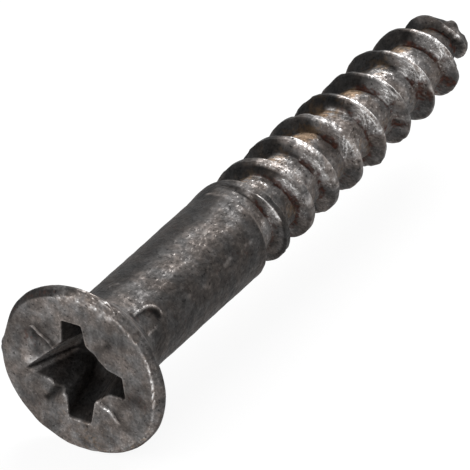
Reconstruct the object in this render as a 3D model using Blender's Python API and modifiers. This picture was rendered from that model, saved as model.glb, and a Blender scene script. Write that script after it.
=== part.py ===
"""Wood screw, made from one piece of steel: a countersunk head with a type Z cross recess,
a plain shank, a single-start right-hand thread cut into a slightly tapered blank, and a blunt tip.

The blank is turned, a groove cutter that follows a helix leaves the thread standing, and the
driver recess is sunk into the head. Depths are measured from the head's flat face to the tip.
The screw lies along +Y: its head faces -Y, its tip points to +Y, and its axis is the Y axis.
"""
import bpy
import bmesh
from math import ceil, cos, pi, radians, sin, sqrt, tan

# Driving dimensions, in metres
OVERALL_LENGTH = 0.0278
SHANK_LENGTH = 0.0104        # from the head's face to where the plain shank gives way to the thread
SHANK_DIAMETER = 0.0040

HEAD_DIAMETER = 0.0076
EDGE_WIDTH = 0.0003          # the eased edge between the face's flat part and the rim
EDGE_DROP = 0.00006          # depth of the eased edge, and its last step in radius
RIM_HEIGHT = 0.00018         # depth where the rim ends and the countersink begins
COUNTERSINK_ANGLE = radians(90)
NECK_FILLET = 0.0015

THREAD_SWELL = 0.0001        # how much wider the thread is than the shank at its start
SWELL_LENGTH = 0.0010        # length from the end of the shank over which it swells
THREAD_TAPER = 0.00048       # how much narrower the thread is where the tip begins
THREAD_DEPTH = 0.00062
PITCH = 0.00191
CREST_FLAT = 0.00030
TIP_FLANK = 0.00045          # axial length of the flank that faces the tip
HEAD_FLANK = 0.00015         # axial length of the steep flank that faces the head
FIRST_CREST = 0.00152        # from the end of the shank to the crest where it passes CREST_ANGLE
CREST_ANGLE = radians(53)    # about the axis, from +X towards +Z
RUN_OUT_FROM = -1.28         # turns from the first crest to where the groove begins
RUN_OUT_TURNS = 0.5          # length of the run-out, in turns

TIP_LENGTH = 0.0022
TIP_DIAMETER = 0.00182
TIP_THREAD_DEPTH = 0.00033
TIP_ROUND = 0.0003

RECESS_ANGLE = radians(5.5)  # direction of one pair of wings, from +X towards +Z
WING_SPAN = 0.00444          # across opposite wings, in the face
WING_SPAN_BOTTOM = 0.0027
WING_WIDTH = 0.00098
WING_WIDTH_BOTTOM = 0.00080
WING_DEPTH = 0.0020
CORE_WIDTH = 0.00276         # across the flats of the recess's square core, in the face
CORE_WIDTH_BOTTOM = 0.0016
CORE_DEPTH = 0.0021
CORE_POINT = 0.00035         # height of the pointed bottom under the core
TICK_SPAN = 0.00526          # across opposite tick marks, which lie between the wings
TICK_DEPTH = 0.00028         # depth that a tick would reach at the middle of the head

# How finely round shapes are divided, and how far a cutter stands clear of what it cuts
BLANK_STEPS = 44
GROOVE_STEPS = 34            # for each turn of the thread
ARC_STEPS = 6
CLEARANCE = 0.0004
RUN_OUT_CLEARANCE = 0.0001
MERGE = 0.000001

STEEL_COLOUR = (0.10, 0.095, 0.09, 1.0)
STEEL_ROUGHNESS = 0.5


def clear_scene():
    for obj in list(bpy.data.objects):
        bpy.data.objects.remove(obj)


def new_collection(name):
    collection = bpy.data.collections.new(name)
    bpy.context.scene.collection.children.link(collection)
    return collection


def new_axis(collection):
    """An empty on the screw's axis. Its local +Z points out of the head."""
    axis = bpy.data.objects.new("screw_axis", None)
    axis.rotation_euler = (pi / 2, 0, 0)
    collection.objects.link(axis)
    return axis


def new_part(name, mesh, collection, axis):
    part = bpy.data.objects.new(name, mesh)
    part.parent = axis
    collection.objects.link(part)
    return part


def new_cutter(name, mesh, collection, axis):
    cutter = new_part(name, mesh, collection, axis)
    cutter.hide_render = True
    cutter.display_type = "WIRE"
    return cutter


def steel():
    material = bpy.data.materials.new("weathered_steel")
    material.use_nodes = True
    shader = material.node_tree.nodes["Principled BSDF"]
    shader.inputs["Base Color"].default_value = STEEL_COLOUR
    shader.inputs["Metallic"].default_value = 1.0
    shader.inputs["Roughness"].default_value = STEEL_ROUGHNESS
    return material


def ramp(value, start, end):
    """The share of the way from start to end, held at 0 before it and at 1 after it."""
    return min(max((value - start) / (end - start), 0.0), 1.0)


def blend(first, last, share):
    return first + (last - first) * share


def ease(share):
    """The same share, with a smooth start and end."""
    return share * share * (3 - 2 * share)


def arc(centre, radius, start, end):
    """Points of an arc in (radius, depth), without its first point."""
    angles = [blend(start, end, step / ARC_STEPS) for step in range(1, ARC_STEPS + 1)]
    return [(centre[0] + radius * cos(a), centre[1] + radius * sin(a)) for a in angles]


def thread_radius(depth):
    """Radius of the blank under the thread: it swells from the shank, tapers, then ends in the tip."""
    thread_start, tip_start = SHANK_LENGTH + SWELL_LENGTH, OVERALL_LENGTH - TIP_LENGTH
    diameter = SHANK_DIAMETER + THREAD_SWELL * ramp(depth, SHANK_LENGTH, thread_start)
    diameter -= THREAD_TAPER * ramp(depth, thread_start, tip_start)
    return blend(diameter, TIP_DIAMETER, ramp(depth, tip_start, OVERALL_LENGTH)) / 2


def thread_depth(depth):
    tip_start = OVERALL_LENGTH - TIP_LENGTH
    return blend(THREAD_DEPTH, TIP_THREAD_DEPTH, ramp(depth, tip_start, OVERALL_LENGTH))


def head_profile():
    """The head, from the middle of its face down to the shank."""
    cone = COUNTERSINK_ANGLE / 2
    rim = HEAD_DIAMETER / 2
    shank = SHANK_DIAMETER / 2
    face = [(0, 0), (rim - EDGE_WIDTH, 0), (rim - EDGE_DROP, EDGE_DROP)]
    side = [(rim, 2 * EDGE_DROP), (rim, RIM_HEIGHT)]
    neck = RIM_HEIGHT + (rim - shank) / tan(cone)
    tangent = NECK_FILLET * tan(cone / 2)
    neck_start = (shank + tangent * sin(cone), neck - tangent * cos(cone))
    fillet = arc((shank + NECK_FILLET, neck + tangent), NECK_FILLET, pi + cone, pi)
    return face + side + [neck_start] + fillet


def thread_profile():
    """The blank under the thread, from the end of the shank to the middle of the tip."""
    tip_start, round_start = OVERALL_LENGTH - TIP_LENGTH, OVERALL_LENGTH - TIP_ROUND
    depths = (SHANK_LENGTH, SHANK_LENGTH + SWELL_LENGTH, tip_start, round_start)
    side = [(thread_radius(depth), depth) for depth in depths]
    centre = (thread_radius(round_start) - TIP_ROUND, round_start)
    return side + arc(centre, TIP_ROUND, 0, pi / 2) + [(0, OVERALL_LENGTH)]


def turned(name, profile):
    """A mesh of (radius, depth) points, to be turned about the local Z axis."""
    mesh = bpy.data.meshes.new(name)
    points = [(radius, 0, -depth) for radius, depth in profile]
    mesh.from_pydata(points, [(i, i + 1) for i in range(len(points) - 1)], [])
    return mesh


def turn(obj, steps):
    screw = obj.modifiers.new("turn", "SCREW")
    screw.steps = steps
    screw.render_steps = steps
    screw.use_merge_vertices = True
    screw.merge_threshold = MERGE


def cut(part, cutter):
    boolean = part.modifiers.new(cutter.name, "BOOLEAN")
    boolean.operation = "DIFFERENCE"
    boolean.solver = "EXACT"
    boolean.object = cutter


def groove_section(turns):
    """The groove's cross-section at a number of turns from the first crest, as (radius, depth).

    It lies between this turn's crest and the next, and stands clear of the blank on its outside.
    In the run-out the whole section draws outwards, until its floor is clear of the blank too.
    """
    crest = SHANK_LENGTH + FIRST_CREST + PITCH * turns
    near, far = crest + CREST_FLAT / 2, crest + PITCH - CREST_FLAT / 2
    in_cut = ease(ramp(turns, RUN_OUT_FROM, RUN_OUT_FROM + RUN_OUT_TURNS))
    lift = (THREAD_DEPTH + RUN_OUT_CLEARANCE) * (1 - in_cut)
    corners = (
        (near, CLEARANCE, 0),
        (near, 0, 0),
        (near + TIP_FLANK, 0, 1),
        (far - HEAD_FLANK, 0, 1),
        (far, 0, 0),
        (far, CLEARANCE, 0),
    )
    return [(thread_radius(depth) + stand + lift - sunk * thread_depth(depth), depth)
            for depth, stand, sunk in corners]


def groove_mesh(name):
    """A loft along a right-hand helix, of sections that differ in depth at the run-out and the tip."""
    last = (OVERALL_LENGTH + CLEARANCE - SHANK_LENGTH - FIRST_CREST) / PITCH
    count = ceil((last - RUN_OUT_FROM) * GROOVE_STEPS)
    bm = bmesh.new()
    rings = []
    for step in range(count + 1):
        turns = RUN_OUT_FROM + step / GROOVE_STEPS
        angle = CREST_ANGLE - 2 * pi * turns
        points = [(r * cos(angle), r * sin(angle), -depth) for r, depth in groove_section(turns)]
        rings.append([bm.verts.new(point) for point in points])
    for ring, following in zip(rings, rings[1:]):
        for i in range(len(ring)):
            j = (i + 1) % len(ring)
            bm.faces.new((ring[i], following[i], following[j], ring[j]))
    bm.faces.new(rings[0])
    bm.faces.new(reversed(rings[-1]))
    bmesh.ops.recalc_face_normals(bm, faces=bm.faces)
    bmesh.ops.triangulate(bm, faces=bm.faces)
    mesh = bpy.data.meshes.new(name)
    bm.to_mesh(mesh)
    bm.free()
    return mesh


def core_profile():
    """The recess's square core, turned in four steps, so its radii run to the corners."""
    corner, corner_bottom = CORE_WIDTH / sqrt(2), CORE_WIDTH_BOTTOM / sqrt(2)
    slope = (corner - corner_bottom) / CORE_DEPTH
    top = (corner + slope * CLEARANCE, -CLEARANCE)
    return [(0, -CLEARANCE), top, (corner_bottom, CORE_DEPTH), (0, CORE_DEPTH + CORE_POINT)]


def wing_mesh(name):
    """A pair of opposite wings: a box whose ends and sides close in towards its bottom."""
    bm = bmesh.new()
    bmesh.ops.create_cube(bm, size=1)
    for vert in bm.verts:
        depth = WING_DEPTH if vert.co.z < 0 else -CLEARANCE
        share = depth / WING_DEPTH
        vert.co.x *= blend(WING_SPAN, WING_SPAN_BOTTOM, share)
        vert.co.y *= blend(WING_WIDTH, WING_WIDTH_BOTTOM, share)
        vert.co.z = -depth
    mesh = bpy.data.meshes.new(name)
    bm.to_mesh(mesh)
    bm.free()
    return mesh


def tick_profile():
    """Two opposite ticks: a spindle that lies in the face with a corner down, turned in four steps."""
    half = TICK_SPAN / 2
    return [(0, -half), (TICK_DEPTH, 0), (0, half)]


def main():
    clear_scene()
    parts = new_collection("wood_screw")
    cutters = new_collection("cutters")
    axis = new_axis(parts)

    screw = new_part("wood_screw", turned("wood_screw", head_profile() + thread_profile()), parts, axis)
    screw.data.materials.append(steel())
    turn(screw, BLANK_STEPS)
    cut(screw, new_cutter("thread_groove", groove_mesh("thread_groove"), cutters, axis))

    core = new_cutter("recess_core", turned("recess_core", core_profile()), cutters, axis)
    core.rotation_euler.z = RECESS_ANGLE
    turn(core, 4)
    cut(screw, core)
    for pair in range(2):
        angle = RECESS_ANGLE + pair * pi / 2
        wings = new_cutter(f"recess_wings_{pair}", wing_mesh("recess_wings"), cutters, axis)
        wings.rotation_euler.z = angle
        cut(screw, wings)
        ticks = new_cutter(f"recess_ticks_{pair}", turned("recess_ticks", tick_profile()), cutters, axis)
        ticks.rotation_euler = (pi / 2, 0, angle + pi / 4)
        turn(ticks, 4)
        cut(screw, ticks)


main()
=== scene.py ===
"""Looks for a worn steel wood screw: a countersunk head with a battered type Z cross recess,
a pitted shank, a rusty right-hand thread and a blunt, lumpy tip.

The screw is one piece of metal, so it is one piece here too. Its front is turned from a profile
and its thread is wound along the helix. Both are then worn point by point, and each point keeps
the skin's tone, with painted highlights and painted shade in it, and its shares of rust and ochre
for the material.

Shapes are worked out in millimetres about the screw's axis. "Round" is the angle from the side
that carries the dent, in radians, and "side" is the same angle in degrees. "Deep" is the distance
from the head's face towards the tip. A point of the face is (across, down): across runs to the
side where round is 0, and down to the side where it is a quarter turn.
"""
from math import atan2, ceil, cos, degrees, exp, floor, hypot, pi, radians, sin, tan

import bmesh
import bpy
from bpy.props import FloatProperty, FloatVectorProperty, IntProperty, PointerProperty
from bpy.types import Operator, Panel, PropertyGroup
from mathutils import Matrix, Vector, noise


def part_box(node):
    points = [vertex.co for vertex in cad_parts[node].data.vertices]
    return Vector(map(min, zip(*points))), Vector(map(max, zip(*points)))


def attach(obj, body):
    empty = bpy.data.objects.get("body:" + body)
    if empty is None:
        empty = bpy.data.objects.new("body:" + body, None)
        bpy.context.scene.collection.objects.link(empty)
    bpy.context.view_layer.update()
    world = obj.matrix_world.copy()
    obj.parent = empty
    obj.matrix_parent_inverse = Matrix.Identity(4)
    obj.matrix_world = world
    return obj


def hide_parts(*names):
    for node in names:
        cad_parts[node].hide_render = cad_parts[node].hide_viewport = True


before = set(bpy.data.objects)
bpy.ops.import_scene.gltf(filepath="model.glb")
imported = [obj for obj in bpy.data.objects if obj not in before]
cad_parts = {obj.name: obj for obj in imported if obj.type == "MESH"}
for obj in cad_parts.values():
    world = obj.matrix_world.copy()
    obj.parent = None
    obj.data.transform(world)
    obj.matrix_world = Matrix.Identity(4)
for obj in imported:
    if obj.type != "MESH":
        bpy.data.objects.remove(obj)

bl_info = {
    "name": "Worn wood screw",
    "version": (1, 0, 0),
    "blender": (4, 5, 0),
    "location": "View3D > Sidebar > Wood screw",
    "description": "Makes a worn countersunk wood screw and a plain studio round it",
    "category": "Add Mesh",
}

MM = 0.001
CAD_LOW, CAD_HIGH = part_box("wood_screw")
SCREW_LENGTH = CAD_HIGH.y - CAD_LOW.y
HEAD_WIDTH = CAD_HIGH.x - CAD_LOW.x
PITCH = 1.91                      # millimetres from one crest to the next


# ---------------------------------------------------------------- sizes and colours

def length(name, description, default, **more):
    return FloatProperty(name=name, description=description, default=default,
                         subtype="DISTANCE", unit="LENGTH", precision=5, **more)


def colour(name, description, default):
    return FloatVectorProperty(name=name, description=description, default=default,
                               subtype="COLOR", size=4, min=0, max=1)


class ScrewSizes(PropertyGroup):
    overall: length("Overall length", "From the head's face to the tip", SCREW_LENGTH)
    head: length("Head diameter", "Across the head's rim", HEAD_WIDTH)
    shank: length("Shank diameter", "Across the plain shank", 0.0040)
    shank_end: length("Shank end", "From the head's face to where the thread starts", 0.01062)
    pitch: length("Pitch", "From one crest to the next", PITCH * MM)
    thread_depth: length("Thread depth", "From crest to root", 0.00062)
    crest_flat: length("Crest width", "Width of the thread's worn top", 0.00030)
    first_crest: length("First crest", "Depth of the first whole crest at the reference side", 0.01192)
    tip_length: length("Tip length", "Length over which the blank narrows to the tip", 0.0022)
    tip: length("Tip diameter", "Across the blunt end", 0.00182)
    recess_depth: length("Recess depth", "Depth of the driver recess's core", 0.0021)
    columns: IntProperty(name="Columns", description="Divisions round the axis", default=216, min=48)


class ScrewColours(PropertyGroup):
    warm: colour("Warm steel", "Tint of the steel's brownish patches", (1.0, 0.86, 0.78, 1))
    cool: colour("Cool steel", "Tint of the steel's clean grey patches", (0.97, 0.925, 0.905, 1))
    # The brightest tones take this tint: rubbed steel, and the painted highlights.
    bare_and_highlight: colour("Bare steel", "Tint of the steel where it is rubbed bright", (1.0, 0.985, 0.975, 1))
    rust: colour("Rust", "Dark red rust at the foot of the thread", (0.066, 0.022, 0.013, 1))
    # Ochre is light rust; in the thread's root it is also a painted warm sheen
    ochre: colour("Ochre", "Light rust in the thread's root", (0.33, 0.21, 0.115, 1))
    floor: colour("Floor", "Floor and background", (0.9, 0.9, 0.9, 1))


# ---------------------------------------------------------------- small helpers

def clamp(value):
    return min(max(value, 0.0), 1.0)


def ramp(value, start, end):
    """The share of the way from start to end, held at 0 before it and at 1 after it."""
    return clamp((value - start) / (end - start))


def blend(first, last, share):
    return first + (last - first) * share


def ease(share):
    """The same share, with a smooth start and end."""
    return share * share * (3 - 2 * share)


def soft_step(value, start, end):
    return ease(ramp(value, start, end))


def band(value, start, end, edge):
    """1 between start and end, fading to 0 over edge on both sides."""
    return soft_step(value, start - edge, start) * (1 - soft_step(value, end, end + edge))


def bump_at(distance, size):
    return exp(-(distance / size) ** 2)


def spot(x, y, centre, size):
    """1 at a centre, fading to 0 within about size of it."""
    return bump_at(hypot(x - centre[0], y - centre[1]), size)


def along(table, value):
    """The value that a table of (place, value) pairs has at a place, eased between them."""
    for (start, first), (end, last) in zip(table, table[1:]):
        if value <= end:
            return blend(first, last, ease(ramp(value, start, end)))
    return table[-1][1]


def grain(x, y, z, size, seed=0.0):
    """Smooth noise from -1 to 1 whose lumps are about size across, in millimetres."""
    return noise.noise(Vector((x / size + seed, y / size - 1.7 * seed, z / size + 0.6 * seed)))


def around(round_, deep, size, seed, wide=1.0, long=1.0):
    """The same noise on the screw's skin; wide and long crowd it round and along the axis."""
    return grain(2.1 * wide * cos(round_), deep * long, 2.1 * wide * sin(round_), size, seed)


TURN_LENGTH = 12.0                # about the length of one turn of the helix


def streaks(turn, share, size, seed, long=5.0):
    """Noise on the thread, drawn out along the helix; the same on both sides of the back."""
    return grain(TURN_LENGTH * turn / long, PITCH * share, 0, size, seed)


def wrapped(side):
    """An angle in degrees, brought between -180 and 180."""
    return (side + 180) % 360 - 180


def lerp2(a, b, share):
    return (blend(a[0], b[0], share), blend(a[1], b[1], share))


def polar(radius, round_, shift):
    """The point at a radius and angle about a centre that is shifted off the axis."""
    return (radius * cos(round_) + shift[0], radius * sin(round_) + shift[1])


FRONT_SIDE = radians(53)          # where round is 0, from +X towards +Z


def round_at(angle):
    """Round, from an angle about +Y that is counted from +X towards +Z."""
    return (FRONT_SIDE - angle + pi) % (2 * pi) - pi


def to_world(across, down):
    """A point (across, down) of the head's face as (x, z)."""
    c, s = cos(FRONT_SIDE), sin(FRONT_SIDE)
    return across * c + down * s, across * s - down * c


# ---------------------------------------------------------------- the turned front

HEAD_SHIFT = (-0.02, 0.114)       # the head sits a little off the shank's axis
FACE_SHIFT = (-0.18, 0.10)        # and the flat part of its face a little off the rim
RECESS_SHIFT = (-0.20, 0.04)
FACE_RADIUS = 3.61                # of the face's flat part
EDGE_INSET, EDGE_DROP = 0.05, 0.09          # where the face's eased edge meets the rim
RIM_START, RIM_END = 0.15, 0.27             # its straight part, behind the face
CONE_SLOPE = radians(45)
NECK_FILLET, NECK_ROWS = 1.5, 20            # the fillet's radius between cone and shank
FINE_ROWS_FROM = 3.9              # from here to the head the rows stand closer, for the dent
JOIN = 9.9                        # where the turned front meets the wound thread
MOUTH_RADIUS, CORE_RADIUS = 1.9, 1.1        # roughly, of the recess's mouth and bottom
WING_DEPTH, POINT_DEPTH = 1.85, 2.45        # of the recess under its wings, and in its middle

# The recess's wings: direction, then corners as (outwards, sideways) from one core flat to the next
WINGS = (
    (-44.7, ((1.305, -0.596), (2.326, -0.500), (2.272, 0.480), (1.361, 0.570))),
    (51.6, ((1.407, -0.632), (2.110, -0.490), (2.250, 0.550), (1.460, 0.590))),
    (140.9, ((1.204, -0.750), (2.356, -0.537), (2.366, 0.539), (1.295, 0.595))),
    (217.4, ((1.427, -0.496), (2.560, -0.040), (2.480, 0.060), (0.864, 1.027))),
)
WING_CLOSE = (0.58, 0.78)         # how much the wings close in, outwards and sideways, at the bottom
# Shares of the columns for a wing's side, its end, its other side and the core's flat after it
WING_SPANS = (1.7, 1.5, 1.7, 2.1)


def wing_points(close=(1, 1)):
    corners = []
    for direction, shape in WINGS:
        c, s = cos(radians(direction)), sin(radians(direction))
        for outwards, sideways in shape:
            u, v = outwards * close[0], sideways * close[1]
            corners.append((u * c - v * s, u * s + v * c))
    return corners


def sampled(corners, weights, count):
    """Points along a closed outline; the number on each side follows weights, not length."""
    total = sum(weights)
    points = []
    for i in range(count):
        place = total * i / count
        side = 0
        while place >= weights[side]:
            place -= weights[side]
            side += 1
        points.append(lerp2(corners[side], corners[(side + 1) % len(corners)], place / weights[side]))
    return points


def rounded(points, passes):
    count = len(points)
    for _ in range(passes):
        points = [((points[i - 1][0] + 2 * points[i][0] + points[(i + 1) % count][0]) / 4,
                   (points[i - 1][1] + 2 * points[i][1] + points[(i + 1) % count][1]) / 4)
                  for i in range(count)]
    return points


def recess_outlines(count):
    """The recess's mouth and bottom, with a point for each column, from the one nearest round 0."""
    mouth = rounded(sampled(wing_points(), WING_SPANS * 4, count), 1)
    bottom = rounded(sampled(wing_points(WING_CLOSE), WING_SPANS * 4, count), 3)
    start = min(range(count), key=lambda i: abs(atan2(mouth[i][1], mouth[i][0])))
    return mouth[start:] + mouth[:start], bottom[start:] + bottom[:start]


def front_rows(sizes):
    """Rows of the turned front as (radius, deep, zone, share), from the join to the recess's middle."""
    shank = sizes.shank / MM / 2
    rim = sizes.head / MM / 2
    rows = [(shank, JOIN, "shank", 0.0)]

    def run(end, zone, spacing):
        """Adds evenly spaced rows, from the last one to a (radius, deep)."""
        start = rows[-1][:2]
        steps = max(1, round(hypot(end[0] - start[0], end[1] - start[1]) / spacing))
        rows.extend((*lerp2(start, end, i / steps), zone, i / steps) for i in range(1, steps + 1))

    fillet_end = RIM_END + (rim - shank) + NECK_FILLET * tan(CONE_SLOPE / 2)
    run((shank, FINE_ROWS_FROM), "shank", 0.125)
    run((shank, fillet_end), "shank", 0.055)
    for i in range(1, NECK_ROWS + 1):
        turned = pi + CONE_SLOPE * i / NECK_ROWS
        rows.append((shank + NECK_FILLET + NECK_FILLET * cos(turned),
                     fillet_end + NECK_FILLET * sin(turned), "neck", i / NECK_ROWS))
    run((rim, RIM_END), "cone", 0.09)
    run((rim, RIM_START), "rim", 0.04)
    run((rim - EDGE_INSET, EDGE_DROP), "rim", 0.04)
    run((FACE_RADIUS, 0), "edge", 0.036)
    run((MOUTH_RADIUS, 0), "face", 0.0462)
    run((CORE_RADIUS, sizes.recess_depth / MM), "wall", 0.16)
    run((0, POINT_DEPTH), "floor", 0.19)
    return rows


def rim_relief(round_, deep):
    """How far the rim stands out: one side is knocked flat, next to a small burr."""
    near_face = 1 - ramp(deep, 0.3, 1.4)
    flat = -0.11 * bump_at(round_ - radians(-113), radians(17))
    burr = 0.10 * bump_at(round_ - radians(-128.5), radians(4))
    return (flat + burr + 0.02 * sin(2 * round_ + 0.6)) * near_face


def face_edge(round_):
    """A point of the line where the face's flat part ends."""
    ripple = 0.03 * grain(cos(round_), sin(round_), 0, 0.16, 2.7)
    hollows = 0.09 * bump_at(round_ - radians(-58), radians(16)) \
        + 0.16 * bump_at(round_ - radians(50), radians(20))
    return polar(FACE_RADIUS + rim_relief(round_, 0) + ripple - hollows, round_, FACE_SHIFT)


# Each tick on the face: start, end, width, depth (below 0 for a ridge), heights of its two lips
TICKS = (
    ((-1.44, 0.00), (-2.75, 0.02), 0.60, 0.24, (0.03, 0.04)),
    ((-0.34, 1.38), (-0.24, 2.75), 0.30, 0.20, (0.06, 0.10)),
    ((-0.22, -1.32), (-0.40, -2.72), 0.22, -0.09, (-0.06, -0.05)),
    ((1.30, 0.00), (2.45, 0.22), 0.50, 0.06, (0.0, 0.0)),
)

# Lumps of the face: centre, size, height
FACE_LUMPS = (
    # The smeared metal by the upper left wing, and the curled edges beside the left tick
    ((-1.1, -1.75), 0.22, 0.05), ((-1.52, -0.52), 0.13, 0.06), ((-1.55, 0.38), 0.12, 0.05),
)


def tick_place(across, down, start, end):
    """A point as (beside, share): its distance from a tick's line and its way along it."""
    dx, dy = end[0] - start[0], end[1] - start[1]
    long = hypot(dx, dy)
    share = ((across - start[0]) * dx + (down - start[1]) * dy) / long ** 2
    wobble = 0.10 * grain(share * long, start[0], start[1], 0.42, 3.6)
    return ((across - start[0]) * -dy + (down - start[1]) * dx) / long + wobble, share


def tick(across, down, start, end, width, depth, lips):
    """A V groove in the face from start to end, with a raised lip along each side."""
    beside, share = tick_place(across, down, start, end)
    if share < -0.25 or share > 1.15:
        return 0.0
    half = width / 2 * (1 - 0.55 * ramp(share, 0, 1))
    cut = max(0.0, 1 - abs(beside) / half) * (1 - soft_step(share, 0.7, 1.0))
    raised = (bump_at(beside - half, 0.07) * lips[0] + bump_at(beside + half, 0.07) * lips[1]) \
        * band(share, 0.0, 0.85, 0.15)
    return raised - cut * depth * (1 - 0.5 * ramp(share, 0, 1))


def smear(across, down):
    """Height of the metal that is smeared over the edge of one wing: a slanting oval and an arc."""
    x, y = across + 1.80, down + 1.66
    oval = exp(-((x * 0.86 + y * 0.5) / 0.20) ** 2 - ((y * 0.86 - x * 0.5) / 0.17) ** 2)
    arc = bump_at(hypot(across + 1.55, down + 1.55) - 0.52, 0.05)
    return 0.15 * oval + 0.05 * arc * soft_step(-down, 1.5, 1.8) * soft_step(-across, 1.2, 1.7)


def face_relief(across, down):
    """Height of the head's face at a point, in front of its plane."""
    high = 0.014 * grain(across, down, 0, 1.4, 3.1) + 0.007 * grain(across, down, 0, 0.45, 8.3) \
        + 0.0035 * grain(across, down, 0, 0.17, 1.9)
    high += sum(tick(across, down, *measures) for measures in TICKS) + smear(across, down)
    return high + sum(height * spot(across, down, centre, size) for centre, size, height in FACE_LUMPS)


SKIN_RADIUS = 2.0                 # turns an angle into a distance round the shank
DENT_CORNER = (2.25, -0.03)       # of the punched dent: deep, and distance round
DENT_LENGTH, DENT_HEIGHT = 1.20, 0.66       # of the curve that its lip follows, from its far end up
DENT_LOW = 0.60                   # how far down from the corner it starts to fade out
DENT_LINE = 0.85                  # and how far down a short raised line lies under it


def dent_place(round_, deep):
    """A point of the shank as (beyond, down) from the corner of its punched dent."""
    return deep - DENT_CORNER[0], SKIN_RADIUS * round_ - DENT_CORNER[1]


def dent_edges(beyond, down):
    """How much a point is inside the dent, and on its curled lip: both from 0 to 1."""
    a, b = max(beyond, 0.0) / DENT_LENGTH, max(DENT_LOW - down, 0.0) / DENT_HEIGHT
    far = (a ** 3.0 + b ** 3.0) ** (1 / 3.0)
    inside = (1 - soft_step(far, 0.93, 1.0)) * (1 - soft_step(down, DENT_LOW, 0.78)) \
        * soft_step(beyond, -0.2, 0.05)
    lip = bump_at(far - 1.05, blend(0.075, 0.042, ramp(beyond, 0.7, 1.1))) * soft_step(beyond, -0.14, 0.0) \
        * (1 - soft_step(down, 0.50, 0.68))
    return inside, lip


def shank_relief(round_, deep):
    """Height of the shank's skin: crumpled scale, and one punched dent with a line and a lump by it."""
    high = 0.010 * around(round_, deep, 0.9, 5.5) + 0.013 * around(round_, deep, 0.34, 2.2, long=0.8)
    beyond, down = dent_place(round_, deep)
    inside, lip = dent_edges(beyond, down)
    high -= 0.10 * inside * (1 - 0.6 * soft_step(down, 0.15, 0.70)) * blend(0.45, 1, ramp(beyond, 0.3, 1.1))
    high += 0.060 * lip * (1 + 0.35 * around(round_, deep, 0.3, 4.1))
    high += 0.025 * bump_at(down - DENT_LINE, 0.05) * band(beyond, -0.02, 0.60, 0.07)
    return high + 0.012 * bump_at(hypot((beyond + 0.1) / 1.3, down + 0.85), 0.28)


# ---------------------------------------------------------------- the skin's tone, with painted light and shade
# Each point of the skin has a tone, from 0 for black to 1 for bright rubbed steel, and shares of
# rust and of ochre. These tables go round the screw by its side, in degrees. Besides the steel's
# own marks their tones hold painted light: a painted highlight band on the upper front side,
# painted shade along the top, and a like lighter band on the back.

SHANK_TONES = ((-180, 0.29), (-110, 0.22), (-52, 0.15), (-44, 0.19), (-37, 0.31), (-30, 0.385),
               (-20, 0.40), (-9, 0.43), (-4, 0.36), (4, 0.29), (14, 0.27), (45, 0.25), (62, 0.27),
               (100, 0.26), (135, 0.37), (158, 0.39), (180, 0.29))
CREST_TONES = ((-180, 0.36), (-130, 0.33), (-80, 0.18), (-58, 0.20), (-48, 0.31), (-37, 0.54), (-27, 0.60),
               (-12, 0.58), (3, 0.55), (34, 0.52), (50, 0.43), (80, 0.36), (120, 0.46), (150, 0.66),
               (165, 0.56), (180, 0.36))
FLANK_TONES = ((-180, 0.36), (-90, 0.15), (-46, 0.17), (-36, 0.31), (-27, 0.45), (-15, 0.62), (-4, 0.90),
               (12, 0.93), (26, 0.66), (42, 0.52), (70, 0.38), (110, 0.36), (145, 0.56), (180, 0.36))
ROOT_TONES = ((-180, 0.38), (-110, 0.16), (-80, 0.14), (-64, 0.22), (-54, 0.46), (-34, 0.555), (-19, 0.52),
              (-2, 0.48), (34, 0.47), (58, 0.41), (80, 0.35), (120, 0.36), (150, 0.48), (180, 0.38))
RUN_OUT_TONES = ((-180, 0.36), (-100, 0.25), (-66, 0.11), (-57, 0.19), (-48, 0.22), (-40, 0.26),
                 (-27, 0.32), (-14, 0.30), (-3, 0.27), (8, 0.34), (22, 0.42), (40, 0.40), (70, 0.36),
                 (180, 0.36))
# The root's ochre by side: light rust, laid as a painted warm sheen where the light falls on the upper side
ROOT_OCHRE_AND_SHEEN = ((-180, 0.30), (-100, 0.35), (-76, 0.60), (-60, 0.85), (-38, 0.70), (-20, 0.15), (20, 0.05),
              (40, 0.30), (90, 0.35), (140, 0.15), (180, 0.30))

# These go along the helix, in turns after the first whole crest: how much of its tone a crest and
# a root keep, which also moves their painted highlights from turn to turn, where the foot of the
# next crest begins, how rusty it is, and how ochre the root is
CREST_TURN_SCALE = ((-1.3, 0.52), (-0.9, 0.60), (-0.14, 0.55), (-0.09, 0.78), (-0.05, 0.72), (0.0, 0.52),
              (0.12, 0.52), (0.30, 0.75), (0.75, 1.0), (0.865, 1.0), (0.895, 1.25), (0.92, 0.85),
              (0.95, 1.0), (1.80, 0.85), (1.88, 0.85), (1.94, 1.05), (2.2, 1.0), (3.0, 1.05), (6.9, 1.08),
              (7.2, 1.0), (7.40, 0.80), (7.70, 0.50), (7.82, 0.44), (7.90, 0.52), (7.96, 0.66),
              (8.03, 0.64), (8.10, 0.54), (8.4, 0.50))
ROOT_TURN_SCALE = ((-1.15, 0.80), (-1.04, 0.85), (-0.97, 0.8), (-0.93, 1.1), (-0.88, 1.1), (-0.8, 0.95),
             (-0.12, 0.94), (-0.05, 0.88), (0.0, 0.98), (0.05, 0.8), (0.4, 0.80), (0.6, 0.86),
             (0.84, 0.90), (0.89, 1.05), (0.955, 0.92), (1.0, 1.18), (1.04, 1.12), (1.10, 0.95),
             (1.5, 0.95), (1.93, 0.95), (1.98, 0.76), (2.03, 0.76), (2.08, 0.95), (2.8, 1.0), (6.78, 1.0),
             (6.86, 0.55), (7.0, 0.5), (8.4, 0.6))
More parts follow.
